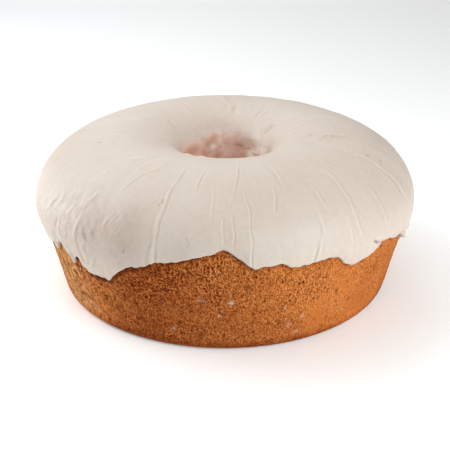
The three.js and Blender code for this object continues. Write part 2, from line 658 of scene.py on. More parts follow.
@dataclass(frozen=True)
class SharedEffects:
    """The node groups that several finishes use."""

    mottle: bpy.types.NodeTree
    pores: bpy.types.NodeTree
    bare_crust: bpy.types.NodeTree

    @classmethod
    def build(cls) -> "SharedEffects":
        """Builds each group once."""
        mottle = cls.build_mottle()
        return cls(mottle=mottle, pores=cls.build_pores(), bare_crust=cls.build_bare_crust(mottle))

    @staticmethod
    def build_mottle() -> bpy.types.NodeTree:
        """Builds soft patches that drift between 0 and 1 over a surface.

        Returns:
            The group. Low and High are the noise levels that give 0 and 1.
        """
        values = {"Scale": 40.0, "Detail": 2.0, "Low": 0.35, "High": 0.65}
        group, sketch, given = start_group("soft mottle", "Mask", values)
        lookup = {name: given[name] for name in ("Vector", "Scale", "Detail")}
        patches = sketch.add("ShaderNodeTexNoise", lookup).outputs["Fac"]
        span = {"Value": patches, "From Min": given["Low"], "From Max": given["High"]}
        mask = sketch.add("ShaderNodeMapRange", span).outputs["Result"]
        sketch.add("NodeGroupOutput", {"Mask": mask})
        return group

    @staticmethod
    def build_pores() -> bpy.types.NodeTree:
        """Builds small uneven holes in some of a surface's cells, as a mask that is 1 inside them.

        Returns:
            The group. Size is the largest hole's, as a share of a cell's. Stray is how far its edge
            strays, and a higher Spread leaves more cells with little or no hole.
        """
        values = {"Scale": 400.0, "Size": 0.4, "Stray": 0.001, "Spread": 1.0}
        group, sketch, given = start_group("open pores", "Mask", values)
        lookup = {"Vector": given["Vector"], "Scale": given["Scale"]}
        warp = sketch.add("ShaderNodeTexNoise", {**lookup, "Detail": 1.0}).outputs["Color"]
        centred = sketch.vector_math("SUBTRACT", {0: warp, 1: NOISE_MIDDLE})
        strayed = sketch.vector_math("SCALE", {0: centred, "Scale": given["Stray"]})
        lookup["Vector"] = sketch.vector_math("ADD", {0: given["Vector"], 1: strayed})
        cells = sketch.add("ShaderNodeTexVoronoi", {**lookup, "Randomness": 1.0}).outputs
        chance = sketch.add("ShaderNodeSeparateColor", {"Color": cells["Color"]}).outputs["Red"]
        size = sketch.times(sketch.math("POWER", chance, given["Spread"]), given["Size"])
        floor = sketch.times(size, PORE_FLOOR)
        span = {"Value": cells["Distance"], "From Min": size, "From Max": floor}
        depth = sketch.add("ShaderNodeMapRange", span, interpolation_type="SMOOTHSTEP")
        sketch.add("NodeGroupOutput", {"Mask": depth.outputs["Result"]})
        return group

    @staticmethod
    def build_bare_crust(mottle: bpy.types.NodeTree) -> bpy.types.NodeTree:
        """Builds the patchy pinkish colour of crust that only a trace of icing covers.

        Args:
            mottle: the group of soft patches.

        Returns:
            The group. Darkening makes the crust darker in patches.
        """
        group, sketch, given = start_group("bare crust", "Color", {"Stain": 0.0})
        patches = {"Vector": given["Vector"], "Scale": 85.0, "Detail": 3.0, "Low": 0.4, "High": 0.65}
        dark = sketch.larger(sketch.use(mottle, **patches), given["Stain"])
        sketch.add("NodeGroupOutput", {"Color": sketch.blend(dark, BARE_CRUST, BARE_CRUST_DARK)})
        return group


@dataclass(frozen=True)
class IcingFinish:
    """Satin off-white icing that lets the crust tint it where it is thin.

    Its scales are in patches to a metre.
    """

    effects: SharedEffects
    roughness: float = 0.46
    specular: float = 0.35
    subsurface: float = 0.1
    subsurface_tint: tuple[float, float, float] = (1.0, 0.7, 0.5)
    subsurface_depth: float = 1.2 * MM
    cloud_scale: float = 28.0
    speckle_scale: float = 330.0
    speckle_shade: float = 0.065
    furrow_shade: float = 0.22
    slit_shadow_from: float = 5.0
    slit_shadow_strength: float = 0.2
    peel_scale: float = 340.0
    peel_height: float = 1.5
    relief_strength: float = 0.6
    relief_depth: float = 0.5 * MM

    def material(self) -> bpy.types.Material:
        """Builds the material.

        Returns:
            The icing's material.
        """
        material, sketch = start_material("satin_icing")
        sketch.surface(
            {
                "Base Color": self.colour(sketch),
                "Roughness": self.roughness,
                "Specular IOR Level": self.specular,
                "Subsurface Weight": self.subsurface,
                "Subsurface Radius": self.subsurface_tint,
                "Subsurface Scale": self.subsurface_depth,
                "Normal": sketch.bump(self.relief(sketch), self.relief_strength, self.relief_depth),
            }
        )
        return material

    def colour(self, sketch: Sketch) -> bpy.types.NodeSocket:
        """Mixes the colour: speckled, with painted highlights on fold tops and painted light on a few
        patches in the hole, painted shade in furrows, pin holes and hollows, a painted shadow inside the
        slit, and bare in the hole.

        Args:
            sketch: the material's tree.

        Returns:
            The colour.
        """
        place = sketch.place()
        sunken = sketch.read("sunken")
        cloud = sketch.use(self.effects.mottle, Vector=place, Scale=self.cloud_scale)
        speckle = sketch.use(self.effects.mottle, Vector=place, Scale=self.speckle_scale, Detail=3.0)
        # Painted shade in furrows, pin holes and the shaded hollows, plus a little random speckle.
        furrows = sketch.times(sunken, self.furrow_shade)
        shaded = sketch.plus(furrows, sketch.times(speckle, self.speckle_shade))
        # Painted shadow inside the slit, where the shade runs highest.
        slit_shadow = sketch.times(sketch.minus(sunken, self.slit_shadow_from), self.slit_shadow_strength)
        even = sketch.blend(cloud, ICING_WHITE, ICING_SHADE)
        # Painted highlights on fold tops, and painted light on a few patches in the hole.
        even = sketch.blend(sketch.read("painted_light"), even, ICING_PAINTED_LIGHT)
        even = sketch.blend(shaded, even, ICING_PAINTED_SHADE_AND_SPECKLE)
        even = sketch.blend(slit_shadow, even, SLIT_PAINTED_SHADOW)
        crust = sketch.use(self.effects.bare_crust, Vector=place, Stain=sketch.read("hole_darkening"))
        return sketch.blend(sketch.read("bare"), even, crust)

    def relief(self, sketch: Sketch) -> bpy.types.NodeSocket:
        """Works out the fine relief: wrinkles where the icing is gathered, and a fine peel all over.

        Args:
            sketch: the material's tree.

        Returns:
            The relief's height.
        """
        grain = sketch.read("grain", "Vector")
        wrinkles = sketch.add(
            "ShaderNodeTexNoise",
            {"Vector": grain, "Scale": 1.0, "Detail": 2.0, "Lacunarity": 2.1, "Distortion": 0.4},
            noise_type="RIDGED_MULTIFRACTAL",
            normalize=True,
        )
        peel = {"Vector": sketch.place(), "Scale": self.peel_scale, "Detail": 5.0}
        fine = sketch.add("ShaderNodeTexNoise", peel).outputs["Fac"]
        folds = sketch.times(wrinkles.outputs["Fac"], sketch.read("gathered"))
        return sketch.plus(folds, sketch.times(fine, self.peel_height))


@dataclass(frozen=True)
class CrustFinish:
    """Browned sponge crust, full of fine pores and bare in the hole. It is browner at the foot, has
    painted shade left of the front and painted light on the left side, and is darker just below the
    icing's edge, where it is damp and where a shadow is painted.

    Its scales are in patches, crumbs or pores to a metre.
    """

    effects: SharedEffects
    # The pale colour carries painted light on the left side; the darkest brown also carries painted
    # shade left of the front.
    pale: tuple = srgb(252, 204, 150)
    light: tuple = srgb(248, 179, 112)
    brown: tuple = srgb(224, 130, 60)
    toasted_and_shaded: tuple = srgb(152, 74, 26)
    damp_and_shadow: tuple = srgb(104, 44, 20)
    pore: tuple = srgb(100, 30, 0)
    roughness: float = 0.9
    specular: float = 0.1
    drift_scale: float = 55.0
    drift_share: float = 0.25
    middle_paling: float = -1.7
    bright_paling: float = -1.5
    crumb_stretch: tuple[float, float, float] = (1.0, 1.0, 0.65)
    crumb_scale: float = 1250.0
    raised_from: float = 0.5
    raised_to: float = 0.64
    sunk_from: float = 0.5
    sunk_to: float = 0.36
    least_crumb: float = 0.15
    coarse_crumb: float = 0.6
    least_large_pores: float = 0.3
    pore_share: float = 0.9
    pore_depth: float = 1.5
    relief_strength: float = 0.7
    relief_depth: float = 0.4 * MM

    def material(self) -> bpy.types.Material:
        """Builds the material.

        Returns:
            The crust's material.
        """
        material, sketch = start_material("browned_crust")
        raised, sunk, pores = self.crumb(sketch)
        outside = sketch.minus(1.0, sketch.read("hole"))
        height = sketch.minus(sketch.minus(raised, sunk), sketch.times(pores, self.pore_depth))
        height = sketch.times(height, outside)
        sketch.surface(
            {
                "Base Color": self.colour(sketch, self.open_crust(sketch, raised, sunk, pores)),
                "Roughness": self.roughness,
                "Specular IOR Level": self.specular,
                "Normal": sketch.bump(height, self.relief_strength, self.relief_depth),
            }
        )
        return material

    def crumb(self, sketch: Sketch) -> tuple[bpy.types.NodeSocket, ...]:
        """Draws the crumb's texture, a little taller than it is wide.

        Args:
            sketch: the material's tree.

        Returns:
            Masks of the crumb's raised parts, its sunk parts and its pores.
        """
        stretch = {"Vector": sketch.read("grain", "Vector"), "Scale": self.crumb_stretch}
        grain = sketch.add("ShaderNodeMapping", stretch).outputs["Vector"]
        crumbs = {"Vector": grain, "Scale": self.crumb_scale, "Detail": 3.0}
        mottle, pores = self.effects.mottle, self.effects.pores
        raised = sketch.use(mottle, **crumbs, Low=self.raised_from, High=self.raised_to)
        sunk = sketch.use(mottle, **crumbs, Low=self.sunk_from, High=self.sunk_to)
        small = sketch.use(pores, Vector=grain, Scale=640.0, Size=0.55, Stray=0.7 * MM, Spread=0.8)
        large = sketch.use(pores, Vector=grain, Scale=430.0, Size=0.45, Stray=1.1 * MM, Spread=1.8)
        coarse = sketch.read("coarse")
        some_large = sketch.times(large, sketch.plus(coarse, self.least_large_pores))
        return raised, sunk, sketch.larger(sketch.times(small, coarse), some_large)

    def open_crust(
        self,
        sketch: Sketch,
        raised: bpy.types.NodeSocket,
        sunk: bpy.types.NodeSocket,
        pores: bpy.types.NodeSocket,
    ) -> bpy.types.NodeSocket:
        """Mixes the colour of the crust outside the hole.

        Args:
            sketch: the material's tree.
            raised: the mask of the crumb's raised parts.
            sunk: the mask of its sunk parts.
            pores: the mask of its pores.

        Returns:
            The colour.
        """
        patches = {"Vector": sketch.place(), "Scale": self.drift_scale, "Detail": 3.0}
        drifts = sketch.use(self.effects.mottle, **patches, Low=0.3, High=0.7)
        # The browning here includes painted shade left of the front and painted light on the left side.
        browning_and_shading = sketch.plus(sketch.read("browning_and_painted_light"), sketch.times(drifts, self.drift_share))
        middle = sketch.blend(sketch.times(browning_and_shading, self.middle_paling), self.brown, self.light)
        middle = sketch.blend(browning_and_shading, middle, self.toasted_and_shaded)
        bright = sketch.blend(browning_and_shading, self.light, self.brown)
        bright = sketch.blend(sketch.times(browning_and_shading, self.bright_paling), bright, self.pale)
        rough = sketch.plus(sketch.times(sketch.read("coarse"), self.coarse_crumb), self.least_crumb)
        crust = sketch.blend(sketch.times(raised, rough), middle, bright)
        crust = sketch.blend(sketch.times(sunk, rough), crust, self.pore)
        open_pores = sketch.larger(pores, sketch.read("pit"))
        crust = sketch.blend(sketch.times(open_pores, self.pore_share), crust, self.pore)
        # Painted shadow, with real dampness, just below the icing's edge.
        return sketch.blend(sketch.read("damp_and_shadow"), crust, self.damp_and_shadow)

    def colour(self, sketch: Sketch, crust: bpy.types.NodeSocket) -> bpy.types.NodeSocket:
        """Adds the bare crust in the hole, and then the smears and flecks of icing.

        Args:
            sketch: the material's tree.
            crust: the colour of the crust outside the hole.

        Returns:
            The colour.
        """
        hole_darkening = sketch.read("hole_darkening")
        bare = sketch.use(self.effects.bare_crust, Vector=sketch.place(), Stain=hole_darkening)
        # Smears and flecks are brightened with painted light where the hole has patches of it.
        smear = sketch.blend(sketch.read("painted_light"), ICING_WHITE, ICING_PAINTED_LIGHT)
        base = sketch.blend(sketch.read("hole"), crust, bare)
        return sketch.blend(sketch.read("smeared"), base, smear)


@dataclass(frozen=True)
class FloorFinish:
    """A plain, pale, matt floor, faintly lit from within so that its shadows stay light."""

    colour: tuple = srgb(248, 248, 247)
    roughness: float = 0.9
    glow: float = 0.2

    def material(self) -> bpy.types.Material:
        """Builds the material.

        Returns:
            The floor's material.
        """
        material, sketch = start_material("pale_floor")
        sketch.surface(
            {
                "Base Color": self.colour,
                "Roughness": self.roughness,
                "Emission Color": self.colour,
                "Emission Strength": self.glow,
            }
        )
        return material


# ---------------------------------------------------------------- marks in the surface


LONG_FOLD = (
    Crease(((-20, -3), (-18, 13), (-18.5, 24), (-18.8, 38), (-19, 52)), 0.4, 0.8, Fold.RIDGE),
    Crease(((-19, 40), (-19, 54), (-19, 68), (-19.2, 82)), 0.45, 1.2, Fold.RIDGE),
    Crease(((-19.2, 16), (-18.4, 28), (-18.2, 38), (-18, 48)), 0.3, 0.5, Fold.GROOVE),
    Crease(((-18, 42), (-18.2, 54), (-18, 66), (-17.8, 82)), 0.35, 0.5, Fold.GROOVE),
    Crease(((-19.7, 54), (-20, 61), (-20.5, 68), (-21, 80)), 0.2, 0.7, Fold.GROOVE),
)
MIDDLE_CREASES = (
    Crease(((7, -4), (5, 14), (3, 29), (1, 42)), 0.3, 0.5),
    Crease(((6, 24), (7, 40), (7, 55), (6.5, 68), (6, 80)), 0.35, 0.5),
    Crease(((21.5, -10), (21, -3), (21, 7), (21.4, 15), (21, 23), (20, 34)), 0.35, 0.6, Fold.RIDGE),
    Crease(((20.2, -8), (19.6, 4), (20, 15), (19.7, 24)), 0.15, 0.7, Fold.GROOVE),
    Crease(((-1, 46), (-1, 54), (-1, 62)), 0.2, 0.5),
    Crease(((2, 42), (2, 54), (2, 66)), 0.25, 0.5),
    Crease(((-4, 26), (-4, 40), (-4, 54)), 0.15, 0.5),
    Crease(((17, 24), (16, 36), (14, 48)), 0.15, 0.6),
    Crease(((-9, 6), (-10, 20), (-10, 34)), 0.12, 0.7),
    Crease(((-11, 57), (-10, 60), (-9.5, 63)), 0.25, 0.5, Fold.GROOVE),
)
RIGHT_CREASES = (
    Crease(((44, 2), (43.5, 9), (43, 16), (45.5, 20), (49, 29)), 0.55, 0.7),
    Crease(((42, 18), (41, 34), (40, 48), (39, 60), (39.5, 74)), 0.45, 0.5),
    Crease(((30, 22), (31, 36), (31, 46), (32.5, 58)), 0.4, 0.5),
    Crease(((27, 52), (26, 60), (24.5, 68), (23, 77)), 0.3, 0.6, Fold.GROOVE),
    Crease(((28, 44), (27, 56), (25.5, 65), (24, 76)), 0.15, 0.9, Fold.RIDGE),
    Crease(((51, 42), (50.5, 56), (50, 70)), 0.25, 0.6),
    Crease(((64, 20), (65, 30), (65.5, 38), (66, 46), (66, 56), (66, 68)), 0.45, 1.4, Fold.RIDGE),
    Crease(((64, 38), (64.5, 50), (64, 62)), 0.2, 0.8, Fold.GROOVE),
    Crease(((36, 52), (36, 62), (35, 72)), 0.2, 0.6),
    Crease(((64, 86), (72, 88), (82, 88.5), (94, 87)), 2.6, 1.4, Fold.GROOVE),
    Crease(((64, 94), (72, 94.5), (80, 94.5), (92, 93)), 2.5, 2.6, Fold.RIDGE),
)
MOUTH_FOLDS = (
    Crease(((56, -7), (62, -5), (67, -1), (75, 3), (80, 9), (82, 16)), 1.1, 1.1),
    Crease(((58, -19), (72, -15), (82, -8)), 0.8, 1.2),
    Crease(((108, -15), (108, -9), (105, -5), (107, 3)), 0.6, 1.0),
    Crease(((132, -33), (130, -31), (127, -27), (126, -21)), 0.7, 1.0),
    Crease(((149, -21), (148, -18), (146, -12)), 0.5, 1.2),
    Crease(((186, 10), (182, 3), (178, -5), (176, -12), (177.5, -20)), 0.35, 2.6, Fold.RIDGE),
    Crease(((181, 2), (174, -7), (172, -14), (174, -21)), 0.3, 2.4, Fold.GROOVE),
    Crease(((-123, -16), (-117.5, -22), (-116, -28)), 0.4, 2.2),
)
LEFT_FAN = (
    Crease(((-35, -12), (-42, 5), (-49, 18), (-52, 32), (-55, 45)), 0.12, 0.7),
    Crease(((-23, 7), (-31, 18), (-34, 28), (-36, 42)), 0.22, 0.6),
    Crease(((-28, -2), (-36, 10), (-38, 24)), 0.15, 0.7),
    Crease(((-26, -12), (-40, 2), (-48, 14)), 0.1, 0.7),
    Crease(((-22, -6), (-28, 6), (-30, 16)), 0.1, 0.7),
)
LEFT_SIDE = (
    Crease(((-53, 44), (-58, 56), (-60, 63), (-64, 72)), 0.15, 0.7),
    Crease(((-54, 46), (-55, 55), (-56, 63)), 0.15, 0.6),
    Crease(((-42.5, 41), (-43, 46), (-43.8, 53), (-44, 62), (-44, 70), (-43, 77)), 0.5, 0.8, Fold.RIDGE),
    Crease(((-44, 68), (-42.5, 78), (-41.5, 87)), 0.5, 1.1, Fold.GROOVE),
    Crease(((-42, 64), (-40, 72)), 0.42, 0.8),
    Crease(((-40.5, 70), (-39.5, 80)), 0.35, 0.9, Fold.GROOVE),
    Crease(((-40, 61), (-37, 67)), 0.3, 0.7),
    Crease(((-34, 61), (-32.5, 54), (-31, 47)), 0.4, 0.6),
    Crease(((-31, 64), (-29, 55)), 0.25, 0.6),
    Crease(((-40, 87), (-38, 80), (-36, 73)), 0.6, 1.1, Fold.RIDGE),
    Crease(((-49, 54), (-49, 64), (-48, 76)), 0.2, 0.9),
    Crease(((-52, 62), (-51, 72), (-50, 82)), 0.25, 1.0, Fold.GROOVE),
)
DRAWN_CREASES = (
    *LONG_FOLD,
    *MIDDLE_CREASES,
    *RIGHT_CREASES,
    *MOUTH_FOLDS,
    *LEFT_FAN,
    *LEFT_SIDE,
)


@dataclass(frozen=True)
class Scatter:
    """More creases over the sides and the back, like those at the front.

    Angles are in degrees, and reach, heights and widths in millimetres.
    """

    first_angle: float = 98
    last_angle: float = 244
    angle_step: float = 6
    angle_stray: float = 3
    start: tuple[float, float] = (44, 56)
    length: tuple[float, float] = (16, 36)
    lowest: float = 80
    lean: float = 5
    bow: float = 2
    pinched_share: float = 0.8
    height: tuple[float, float] = (0.2, 0.45)
    width: tuple[float, float] = (0.9, 1.3)

    def draw(self, rng: np.random.Generator) -> list[Crease]:
        """Draws the creases.

        Args:
            rng: the source of chance.

        Returns:
            The creases.
        """
        creases = []
        for angle in np.arange(self.first_angle, self.last_angle, self.angle_step):
            angle += rng.uniform(-self.angle_stray, self.angle_stray)
            start = rng.uniform(*self.start)
            end = min(start + rng.uniform(*self.length), self.lowest)
            lean = rng.uniform(-self.lean, self.lean)
            bow = rng.uniform(-self.bow, self.bow)
            knots = ((angle, start), (angle + lean / 2 + bow, (start + end) / 2), (angle + lean, end))
            fold = Fold.PINCH if rng.random() < self.pinched_share else Fold.RIDGE
            height = rng.uniform(*self.height)
            creases.append(Crease(knots, height, rng.uniform(*self.width), fold))
        return creases


@dataclass(frozen=True)
class EdgeMark:
    """A narrow tear, or with a negative rise a narrow drip, in the icing's lower edge."""

    angle: float
    half_width: float
    rise: float
    power: float = 1.0
    thinning: float = 0.0

    def offset(self, angles: np.ndarray) -> np.ndarray:
        """How far the mark raises the edge at each angle."""
        share = np.clip(1 - np.abs(turn_between(angles, self.angle)) / self.half_width, 0, 1)
        return self.rise * share**self.power

    def thins(self, angles: np.ndarray) -> np.ndarray:
        """Thins the icing beside the mark, on its side towards the front.

        Args:
            angles: where to look, in degrees.

        Returns:
            How much thinner the icing is at each angle, as a share of its thickness.
        """
        middle = self.angle - math.copysign(0.7 * self.half_width, self.angle)
        return self.thinning * hump((turn_between(angles, middle) / self.half_width) ** 2)


EDGE_MARKS = (
    EdgeMark(-57.8, 1.4, -4.2 * MM, 0.8),
    EdgeMark(-54.0, 2.4, 3.0 * MM, 0.4, 0.7),
    EdgeMark(-48.8, 1.2, -2.6 * MM),
    EdgeMark(-46.0, 2.2, 6.0 * MM, 0.4, 0.7),
    EdgeMark(-34.0, 1.6, -1.6 * MM),
    EdgeMark(-28.0, 1.0, -0.8 * MM),
    EdgeMark(-18.5, 0.8, 0.8 * MM),
    EdgeMark(-0.4, 2.2, 0.5 * MM),
    EdgeMark(7.6, 1.2, -0.6 * MM),
    EdgeMark(14.6, 1.6, 1.0 * MM),
    EdgeMark(17.2, 1.0, -0.5 * MM),
    EdgeMark(31.5, 1.8, 1.4 * MM),
    EdgeMark(36.4, 1.0, -0.8 * MM),
    EdgeMark(48.4, 0.8, 1.8 * MM, 0.6),
    EdgeMark(79.5, 1.7, -7.5 * MM, 0.9, 0.4),
)


@dataclass(frozen=True)
class Dab:
    """A soft oval mark, with its half widths across and along in millimetres."""

    angle: float
    reach: float
    across: float
    along: float
    strength: float = 1.0

    def add_to(self, skin: Skin, values: np.ndarray, amount: float) -> None:
        """Adds the mark, times an amount, to values kept over a sheet."""
        columns, shape = skin.blob(self.angle, self.reach * MM, (self.across * MM, self.along * MM))
        values[columns] += amount * self.strength * shape


PIN_HOLES = (
    Dab(-19.5, 38.5, 0.55, 0.6),
    Dab(-20.3, 40.5, 0.4, 0.5, 0.7),
    Dab(-27, 69, 0.5, 0.6, 0.7),
    Dab(-75, 17, 0.8, 0.8, 0.8),
    Dab(68.5, 29.5, 1.4, 0.7, 0.6),
    Dab(70.1, 37.7, 1.2, 0.9, 0.6),
    Dab(59.1, 38.3, 1.2, 0.7, 0.3),
    Dab(78.8, -8.6, 1.8, 1.2, 0.5),
)
SLIT = tuple(Dab(44.0 + 0.6 * step, 72.5 + 0.7 * step, 0.5, 0.4) for step in range(5))
RIM_LUMPS = (
    Dab(-17, -16.5, 2.2, 2.4, 1.1),
    Dab(-23, -16.5, 1.6, 2.0, -0.6),
    Dab(-29, -17, 2.4, 2.6, 1.2),
    Dab(-44, -17.5, 3.4, 2.4, 0.6),
)
HOLE_SWELLS = (Dab(126, -51, 15, 9, 5.5),)
# Painted light: patches in the hole lightened towards a near-white.
PAINTED_LIGHT_PATCHES = (
    Dab(121, -41, 7, 5, 0.9),
    Dab(136, -36, 6, 4, 0.4),
    Dab(141, -48, 6.0, 4.8, 1.0),
    Dab(-165, -45, 3.0, 2.4, 0.9),
)
THIN_PATCHES = (
    Dab(-34, 85, 3.5, 3.0, 0.35),
    Dab(6, 49, 1.6, 1.6, 0.3),
    Dab(-25, 63, 6, 5, 0.12),
    Dab(-33, 58, 6, 6, 0.12),
    Dab(-95, -20, 3.0, 2.5, 0.25),
)
SHADED_HOLLOWS = (
    Dab(-27, 64, 11, 14, 1.5),
    Dab(-38, 60, 9, 12, 1.0),
    Dab(-11, 66, 6, 12, 0.5),
    Dab(-27, 49, 9, 9, 0.8),
    Dab(-172, -34, 13, 10, 1.0),
)
HOLE_SMEARS = (
    Dab(-165, -45, 3.0, 2.4, 1.1),
    Dab(141, -48.5, 6.0, 4.6, 1.3),
    Dab(128, -43, 2.6, 3.0, 0.7),
    Dab(-110, -43, 4.0, 2.5, 0.5),
)
# Patches of bare crust in the hole that are made darker.
HOLE_DARK_PATCHES = (
    Dab(-134, -45, 9, 5, 1.2),
    Dab(160, -43, 8, 4, 1.0),
    Dab(137, -41, 5, 2.4, 0.8),
)
WALL_FLECKS = (
    Dab(1.7, 97.4, 1.3, 1.2, 0.9),
    Dab(-6.4, 96.5, 2.2, 0.7, 0.45),
    Dab(-0.7, 103.4, 0.6, 0.6, 0.8),
    Dab(-1.8, 107.8, 0.7, 0.7, 0.8),
    Dab(-15.2, 120.1, 1.6, 1.4, 0.3),
    Dab(17.3, 105.2, 0.6, 0.9, 0.8),
    Dab(19, 118.9, 0.8, 2.2, 0.4),
    Dab(23.2, 114.2, 1.6, 0.8, 0.6),
    Dab(22, 125.7, 1.6, 0.9, 0.7),
    Dab(67.5, 104.6, 0.8, 1.8, 0.5),
    Dab(69.6, 112, 0.8, 2.2, 0.5),
)
DARK_DENTS = (
    Dab(34, 101.8, 1.2, 1.9, 0.9),
    Dab(30.5, 98, 0.9, 1.4, 0.8),
    Dab(40.3, 112, 1.0, 1.6, 0.6),
    Dab(41.5, 84.5, 2.0, 2.2, 0.6),
    Dab(50, 99, 1.2, 3.0, 0.5),
    Dab(50.5, 92, 1.2, 3.2, 0.5),
    Dab(-35.5, 87, 2.6, 1.6, 0.8),
    Dab(6, 86.5, 1.4, 1.6, 0.8),
    Dab(-4, 85, 1.2, 1.0, 0.8),
    Dab(-18, 80, 1.2, 1.0, 0.8),
)


def mark_all(dabs: tuple[Dab, ...], skin: Skin, values: np.ndarray, amount: float = 1.0) -> None:
    """Adds soft marks, times an amount, to values kept over a sheet."""
    for dab in dabs:
        dab.add_to(skin, values, amount)


def marked(skin: Skin, dabs: tuple[Dab, ...]) -> np.ndarray:
    """Adds up soft marks over a sheet that is blank elsewhere.

    Args:
        skin: the sheet.
        dabs: the marks.

    Returns:
        A value for each of the sheet's points.
    """
    values = np.zeros(skin.reach.shape)
    mark_all(dabs, skin, values)
    return values


@dataclass(frozen=True)
class Tone:
    """A soft patch, by the angle of its middle and its half width in degrees.

    It changes something by one amount low on the wall and by another high on it.
    """

    angle: float
    half_width: float
    low: float
    high: float


# The angles where the crust is torn and where it is finest.
TORN_SIDE = -58.0
FINE_SIDE = 50.0
GATHERING = (
    Tone(-46, 20, 0.8, 0.8),
    Tone(160, 35, 0.5, 0.5),
)
# Browning mixed with painted light and shade: the darkening about and left of the front follows the
# shade there, and the paling on the torn side is painted light.
BROWNING_AND_PAINTED_LIGHT = (
    Tone(-26, 14, 0.74, 0.74),
    Tone(1, 15, 0.42, 0.32),
    Tone(-18, 10, 0.0, 0.3),
    Tone(42, 12, -0.12, -0.12),
    Tone(78, 14, 0.4, 0.4),
    Tone(TORN_SIDE, 20, -0.88, -0.88),
)
COARSENING = (
    Tone(-27, 14, 0.0, 0.4),
    Tone(FINE_SIDE, 36, -0.6, -0.6),
    Tone(TORN_SIDE, 20, -0.36, -0.36),
)


def toned(tones: tuple[Tone, ...], angles: np.ndarray, rise: np.ndarray | float) -> np.ndarray:
    """Adds up soft patches.

    Args:
        tones: the patches.
        angles: the angles of the places at which they are wanted, in degrees.
        rise: for each place, 0 where it is low on the wall to 1 where it is high.

    Returns:
        The change at each place.
    """
    total = 0
    for tone in tones:
        amount = tone.low + (tone.high - tone.low) * rise
        total = total + amount * near(angles, tone.angle, tone.half_width)
    return total


@dataclass(frozen=True)
class HoleFade:
    """The line in the hole where icing thins out to bare crust, by angle and height in millimetres."""

    knots: tuple[tuple[float, float], ...] = (
        (-180, 85.3), (-165, 84.6), (-150, 84), (-135, 84), (-120, 83.5), (-106, 81), (-92, 77),
        (90, 74), (112, 70), (118, 72), (122, 75), (128, 78), (135, 80), (150, 82), (165, 84),
    )
    softness: float = 5.5 * MM
    ragged: Lumps = Lumps(3.5 * MM, 9 * MM, 3, 20.0)
    hole_starts: tuple[float, float] = (18 * MM, 24 * MM)

    def inside(self, skin: Skin) -> np.ndarray:
        """How surely each point of a sheet is in the hole, from 0 to 1."""
        return smoothstep(-skin.reach, *self.hole_starts)

    def bareness(self, skin: Skin) -> np.ndarray:
        """Finds how bare the crust is.

        Args:
            skin: a sheet.

        Returns:
            For each of its points, 0 where icing covers the crust to 1 where nothing does.
        """
        angles, heights = np.array(self.knots).T
        line = np.interp(skin.angles, angles, heights * MM, period=360)[:, None]
        points = skin.points()
        level = points[..., 2] + self.ragged.over(points)
        bare = 1 - smoothstep(level - line, -self.softness, self.softness)
        mark_all(HOLE_SMEARS, skin, bare, -1.0)
        return np.clip(bare, 0, 1) * self.inside(skin)


# ---------------------------------------------------------------- the icing


